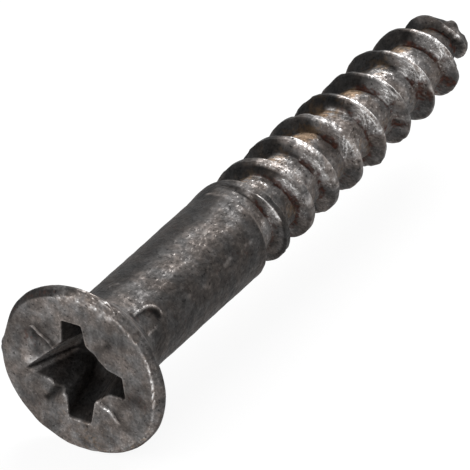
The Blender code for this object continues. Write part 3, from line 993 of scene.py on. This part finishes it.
def shape_tip(verts, layers, blank):
    """Carries the worn outline of the thread's last ring in to the middle, with lumps and pits."""
    for vert in verts:
        angle, deep = atan2(vert.co.z, vert.co.x), vert.co.y
        outer, skin = worn_surface(blank, angle, TIP_CUT)
        inward = hypot(vert.co.x, vert.co.z) / blank.radius(TIP_CUT)
        radius = outer * inward ** 0.6
        x, y = radius * cos(angle), radius * sin(angle)
        lump = 0.07 * grain(x, y, 0, 0.5, 2.9) + 0.03 * grain(x, y, 1, 0.22, 5.1) - 0.03
        tone = 0.43 + 0.10 * grain(x, y, 0, 0.35, 2.4) + 0.10 * grain(x, y, 0, 0.16, 6.4)
        pits = max(0.0, grain(x, y, 0, 0.3, 7.9) - 0.1)
        middle = ramp(deep, TIP_CUT, TIP_CUT + 0.1)
        put(vert, radius, angle, deep + (lump - 0.08 * pits) * middle)
        mark(vert, layers, (blend(skin[0], tone - 0.5 * pits, middle), 0.15 + 0.5 * pits, 0.1))


def put_in_order(bm):
    """Sorts the edges and faces by their vertices, so that every run gives the same mesh."""
    bm.verts.index_update()
    for parts in (bm.edges, bm.faces):
        for i, part in enumerate(sorted(parts, key=lambda part: sorted(vert.index for vert in part.verts))):
            part.index = i
        parts.sort()


def screw_mesh(sizes):
    """The whole screw as one closed mesh: front, thread and tip, worn and then joined."""
    blank = Blank(sizes)
    bm = bmesh.new()
    layers = [bm.verts.layers.float.new(name) for name in ("tone", "rust", "ochre")]
    rows, row_layer = turned_front(bm, sizes)
    front = list(bm.verts)
    thread = wound_thread(bm, blank, sizes.columns)
    tip = blunt_tip(bm, blank, sizes.columns)
    shape_front(front, rows, row_layer, layers, sizes)
    shape_thread(thread, layers, blank)
    shape_tip(tip, layers, blank)
    bmesh.ops.remove_doubles(bm, verts=bm.verts, dist=MEETING_GAP)
    bmesh.ops.recalc_face_normals(bm, faces=bm.faces)
    bmesh.ops.triangulate(bm, faces=[f for f in bm.faces if len(f.verts) > 4])
    bmesh.ops.scale(bm, vec=(MM, MM, MM), verts=bm.verts)
    put_in_order(bm)
    mesh = bpy.data.meshes.new("worn_screw")
    bm.to_mesh(mesh)
    bm.free()
    for polygon in mesh.polygons:
        polygon.use_smooth = True
    return mesh


# ---------------------------------------------------------------- materials

def add_node(tree, kind, **settings):
    node = tree.nodes.new(kind)
    for name, value in settings.items():
        setattr(node, name, value)
    return node


def connect(tree, source, socket):
    """Links a socket to another, or sets a plain value on it."""
    if isinstance(source, bpy.types.NodeSocket):
        tree.links.new(source, socket)
    else:
        socket.default_value = source


def calc(tree, operation, first, second=0.0, third=0.0, clamped=False):
    node = add_node(tree, "ShaderNodeMath", operation=operation, use_clamp=clamped)
    for source, socket in zip((first, second, third), node.inputs):
        connect(tree, source, socket)
    return node.outputs[0]


def scaled(tree, vector, factor):
    """A vector or colour, made longer or lighter by a factor."""
    node = add_node(tree, "ShaderNodeVectorMath", operation="SCALE")
    connect(tree, vector, node.inputs[0])
    connect(tree, factor, node.inputs["Scale"])
    return node.outputs[0]


def remap(tree, value, start, end, low=0.0, high=1.0):
    node = add_node(tree, "ShaderNodeMapRange", interpolation_type="SMOOTHSTEP")
    for source, name in ((value, "Value"), (start, "From Min"), (end, "From Max"),
                         (low, "To Min"), (high, "To Max")):
        connect(tree, source, node.inputs[name])
    return node.outputs["Result"]


def mix_colour(tree, share, first, second):
    node = add_node(tree, "ShaderNodeMix", data_type="RGBA")
    connect(tree, share, node.inputs["Factor"])
    connect(tree, first, node.inputs[6])
    connect(tree, second, node.inputs[7])
    return node.outputs[2]


def mix_shaders(tree, share, first, second):
    node = add_node(tree, "ShaderNodeMixShader")
    for source, socket in zip((share, first, second), node.inputs):
        connect(tree, source, socket)
    return node.outputs[0]


def patches_group():
    """Patches of a given size in millimetres, 0 below the low and 1 above the high noise level."""
    group = bpy.data.node_groups.new("skin_patches", "ShaderNodeTree")
    group.interface.new_socket("Place", in_out="INPUT", socket_type="NodeSocketVector")
    for name, default in (("Size", 0.5), ("Detail", 2.0), ("Low", 0.35), ("High", 0.65)):
        socket = group.interface.new_socket(name, in_out="INPUT", socket_type="NodeSocketFloat")
        socket.default_value = default
    group.interface.new_socket("Mask", in_out="OUTPUT", socket_type="NodeSocketFloat")
    inputs = group.nodes.new("NodeGroupInput").outputs
    texture = add_node(group, "ShaderNodeTexNoise")
    connect(group, inputs["Place"], texture.inputs["Vector"])
    connect(group, calc(group, "DIVIDE", 1.0, inputs["Size"]), texture.inputs["Scale"])
    connect(group, inputs["Detail"], texture.inputs["Detail"])
    mask = remap(group, texture.outputs[0], inputs["Low"], inputs["High"])
    connect(group, mask, group.nodes.new("NodeGroupOutput").inputs["Mask"])
    return group


def patches(tree, group, place, size, detail, low, high):
    node = add_node(tree, "ShaderNodeGroup", node_tree=group)
    for source, name in ((place, "Place"), (size, "Size"), (detail, "Detail"), (low, "Low"), (high, "High")):
        connect(tree, source, node.inputs[name])
    return node.outputs["Mask"]


def painted(tree, name):
    """One of the shares kept on the mesh's points."""
    return add_node(tree, "ShaderNodeAttribute", attribute_name=name).outputs["Fac"]


TONE_POWER = 2.2                  # from an evenly stepped tone to the share of light


def steel(colours):
    """Old steel: its tone, with painted light and shade in it, rust and ochre come from the mesh, and their
    fine grain and painted glints from noise.
    """
    material = bpy.data.materials.new("weathered_steel")
    material.use_nodes = True
    tree = material.node_tree
    shader = tree.nodes["Principled BSDF"]
    group = patches_group()
    place = scaled(tree, add_node(tree, "ShaderNodeTexCoord").outputs["Object"], 1 / MM)
    drawn_out = add_node(tree, "ShaderNodeMapping")
    connect(tree, place, drawn_out.inputs["Vector"])
    drawn_out.inputs["Scale"].default_value = (1, 0.6, 1)
    drawn_out = drawn_out.outputs[0]

    fine = patches(tree, group, drawn_out, 0.13, 3.0, 0.28, 0.72)
    medium = patches(tree, group, place, 0.42, 2.0, 0.30, 0.70)
    glint_flecks = patches(tree, group, drawn_out, 0.085, 1.0, 0.60, 0.72)
    pits = patches(tree, group, place, 0.15, 1.0, 0.64, 0.74)
    tone = painted(tree, "tone")
    # Each noise moves the tone up and down by a share of itself
    shift = calc(tree, "MULTIPLY_ADD", fine, 0.24, calc(tree, "MULTIPLY_ADD", medium, 0.24, 0.77))
    shift = calc(tree, "MULTIPLY_ADD", pits, -0.35, shift)
    # Painted glints: bright flecks, strongest where the tone is brightest, as on the painted highlights
    painted_glints = calc(tree, "MULTIPLY", glint_flecks, calc(tree, "MULTIPLY", tone, tone))
    level = calc(tree, "MULTIPLY_ADD", painted_glints, 0.7, calc(tree, "MULTIPLY", tone, shift), clamped=True)
    light = calc(tree, "POWER", level, TONE_POWER)

    hue = patches(tree, group, place, 0.8, 2.0, 0.36, 0.66)
    tint = mix_colour(tree, hue, colours.warm, colours.cool)
    # Bright tones turn to the rubbed steel tint, and so do the painted highlights in the tone.
    tint = mix_colour(tree, remap(tree, level, 0.45, 0.85), tint, colours.bare_and_highlight)
    spots = patches(tree, group, place, 0.20, 3.0, 0.30, 0.70)
    rusty = remap(tree, calc(tree, "MULTIPLY_ADD", spots, 0.45, painted(tree, "rust")), 0.45, 1.20)
    ochreous = remap(tree, calc(tree, "MULTIPLY_ADD", spots, -0.4, painted(tree, "ochre")), -0.05, 0.55)
    # The ochre brightens with the tone, and so is lightest on the painted highlights
    ochre = scaled(tree, colours.ochre[:3], calc(tree, "MULTIPLY_ADD", light, 3.9, 0.12))
    rust = scaled(tree, colours.rust[:3],
                  calc(tree, "MULTIPLY_ADD", spots, 0.9, calc(tree, "MULTIPLY", fine, 0.5)))
    skin = mix_colour(tree, calc(tree, "MULTIPLY", ochreous, 0.7), scaled(tree, tint, light), ochre)
    skin = mix_colour(tree, calc(tree, "MULTIPLY", rusty, 0.9), skin, rust)
    connect(tree, skin, shader.inputs["Base Color"])

    crust = calc(tree, "MAXIMUM", rusty, ochreous)
    metal = calc(tree, "MULTIPLY", remap(tree, level, 0.36, 0.72),
                 calc(tree, "MULTIPLY_ADD", crust, -0.9, 1.0))
    connect(tree, metal, shader.inputs["Metallic"])
    rough = remap(tree, level, 0.25, 0.75, 0.62, 0.38)
    connect(tree, calc(tree, "MULTIPLY_ADD", crust, 0.2, rough, clamped=True), shader.inputs["Roughness"])
    shader.inputs["Specular IOR Level"].default_value = 0.1

    bump = add_node(tree, "ShaderNodeBump")
    bump.inputs["Distance"].default_value = 0.03 * MM
    bump.inputs["Strength"].default_value = 0.6
    height = calc(tree, "MULTIPLY_ADD", medium, 0.7, calc(tree, "MULTIPLY_ADD", pits, -0.5, fine))
    connect(tree, height, bump.inputs["Height"])
    connect(tree, bump.outputs[0], shader.inputs["Normal"])
    return material


def white_for_seen_rays(tree, seen, lit):
    """Mixes lit with seen for camera, glossy and transmitted rays, and returns the mix's output."""
    path = add_node(tree, "ShaderNodeLightPath").outputs
    direct = calc(tree, "MAXIMUM", path["Is Camera Ray"], path["Is Glossy Ray"])
    return mix_shaders(tree, calc(tree, "MAXIMUM", direct, path["Is Transmission Ray"]), lit, seen)


def floor_paint(colours):
    """A pale floor that looks white but keeps the screw's shadow."""
    material = bpy.data.materials.new("pale_floor")
    material.use_nodes = True
    tree = material.node_tree
    shader = tree.nodes["Principled BSDF"]
    shader.inputs["Base Color"].default_value = colours.floor
    shader.inputs["Roughness"].default_value = 0.9
    shader.inputs["Specular IOR Level"].default_value = 0.0
    white = add_node(tree, "ShaderNodeEmission")
    white.inputs["Strength"].default_value = 1.06
    seen = mix_shaders(tree, 0.85, shader.outputs[0], white.outputs[0])
    mixed = white_for_seen_rays(tree, seen, shader.outputs[0])
    connect(tree, mixed, tree.nodes["Material Output"].inputs["Surface"])
    return material


def make_world(scene):
    """Even light all round, seen as white."""
    world = bpy.data.worlds.new("studio")
    world.use_nodes = True
    scene.world = world
    tree = world.node_tree
    lit, white = tree.nodes["Background"], add_node(tree, "ShaderNodeBackground")
    for background, strength in ((lit, 0.38), (white, 1.0)):
        background.inputs["Color"].default_value = (1, 1, 1, 1)
        background.inputs["Strength"].default_value = strength
    mixed = white_for_seen_rays(tree, white.outputs[0], lit.outputs[0])
    connect(tree, mixed, tree.nodes["World Output"].inputs["Surface"])


# ---------------------------------------------------------------- the stage

FLOOR_RADIUS = 1.2

# Each lamp: name, direction from the screw, distance and size in metres, power in watts
LAMPS = (
    ("overhead_softbox", (-0.267, 0.694, 0.668), 0.45, 0.30, 2.1),
    ("front_softbox", (-0.6, -0.75, 0.3), 0.5, 0.35, 1.5),
)
LENS, SENSOR = 966, 36            # in millimetres
CAMERA_AZIMUTH, CAMERA_ELEVATION = radians(32.55), radians(35.23)
CAMERA_AIM = Vector((3.532, 5.884, 4.333)) * MM
CAMERA_DISTANCE = 0.4976
CAMERA_NEAR, CAMERA_FAR = 0.01, 5


def make_floor(scene):
    bm = bmesh.new()
    bmesh.ops.create_circle(bm, cap_ends=True, segments=96, radius=FLOOR_RADIUS)
    bmesh.ops.translate(bm, vec=(0, 0, CAD_LOW.z), verts=bm.verts)
    mesh = bpy.data.meshes.new("studio_floor")
    bm.to_mesh(mesh)
    bm.free()
    floor_ = bpy.data.objects.new("studio_floor", mesh)
    scene.collection.objects.link(floor_)
    floor_.data.materials.append(floor_paint(scene.screw_colours))


def area_lamp(scene, name, direction, distance, size, power):
    direction = Vector(direction)
    light = bpy.data.lights.new(name, "AREA")
    light.shape = "SQUARE"
    light.size = size
    light.energy = power
    lamp = bpy.data.objects.new(name, light)
    lamp.location = (CAD_LOW + CAD_HIGH) / 2 + direction.normalized() * distance
    lamp.rotation_euler = (-direction).to_track_quat("-Z", "Y").to_euler()
    lamp.visible_camera = False
    scene.collection.objects.link(lamp)


def make_camera(scene):
    camera = bpy.data.objects.new("camera", bpy.data.cameras.new("camera"))
    camera.data.lens = LENS
    camera.data.sensor_width = SENSOR
    camera.data.clip_start = CAMERA_NEAR
    camera.data.clip_end = CAMERA_FAR
    back = Vector((sin(CAMERA_AZIMUTH) * cos(CAMERA_ELEVATION),
                   -cos(CAMERA_AZIMUTH) * cos(CAMERA_ELEVATION), sin(CAMERA_ELEVATION)))
    camera.location = CAMERA_AIM + back * CAMERA_DISTANCE
    camera.rotation_euler = (-back).to_track_quat("-Z", "Y").to_euler()
    scene.collection.objects.link(camera)
    scene.camera = camera


# ---------------------------------------------------------------- operators

class SCREW_OT_make_screw(Operator):
    """Makes the whole screw as one piece and lets it stand for the plain one"""
    bl_idname = "screw.make_screw"
    bl_label = "Make the screw"

    def execute(self, context):
        mesh = screw_mesh(context.scene.screw_sizes)
        screw = bpy.data.objects.new("worn_screw", mesh)
        context.scene.collection.objects.link(screw)
        screw.data.materials.append(steel(context.scene.screw_colours))
        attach(screw, "root")
        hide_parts("wood_screw")
        return {"FINISHED"}


class SCREW_OT_make_stage(Operator):
    """Makes the floor, the world, the lamps and the camera"""
    bl_idname = "screw.make_stage"
    bl_label = "Make the stage"

    def execute(self, context):
        scene = context.scene
        scene.view_settings.view_transform = "Standard"
        make_floor(scene)
        make_world(scene)
        for lamp in LAMPS:
            area_lamp(scene, *lamp)
        make_camera(scene)
        return {"FINISHED"}


class SCREW_PT_panel(Panel):
    """Lists the screw's steps and sizes"""
    bl_idname = "SCREW_PT_panel"
    bl_label = "Wood screw"
    bl_space_type = "VIEW_3D"
    bl_region_type = "UI"
    bl_category = "Wood screw"

    def draw(self, context):
        for operator in (SCREW_OT_make_screw, SCREW_OT_make_stage):
            self.layout.operator(operator.bl_idname)
        for group in (context.scene.screw_sizes, context.scene.screw_colours):
            for name in group.__annotations__:
                self.layout.prop(group, name)


CLASSES = (ScrewSizes, ScrewColours, SCREW_OT_make_screw, SCREW_OT_make_stage, SCREW_PT_panel)


def register():
    for cls in CLASSES:
        bpy.utils.register_class(cls)
    bpy.types.Scene.screw_sizes = PointerProperty(type=ScrewSizes)
    bpy.types.Scene.screw_colours = PointerProperty(type=ScrewColours)


def unregister():
    del bpy.types.Scene.screw_colours
    del bpy.types.Scene.screw_sizes
    for cls in reversed(CLASSES):
        bpy.utils.unregister_class(cls)


def main():
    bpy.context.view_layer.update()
    register()
    bpy.ops.screw.make_screw()
    bpy.ops.screw.make_stage()


if __name__ == "__main__":
    main()
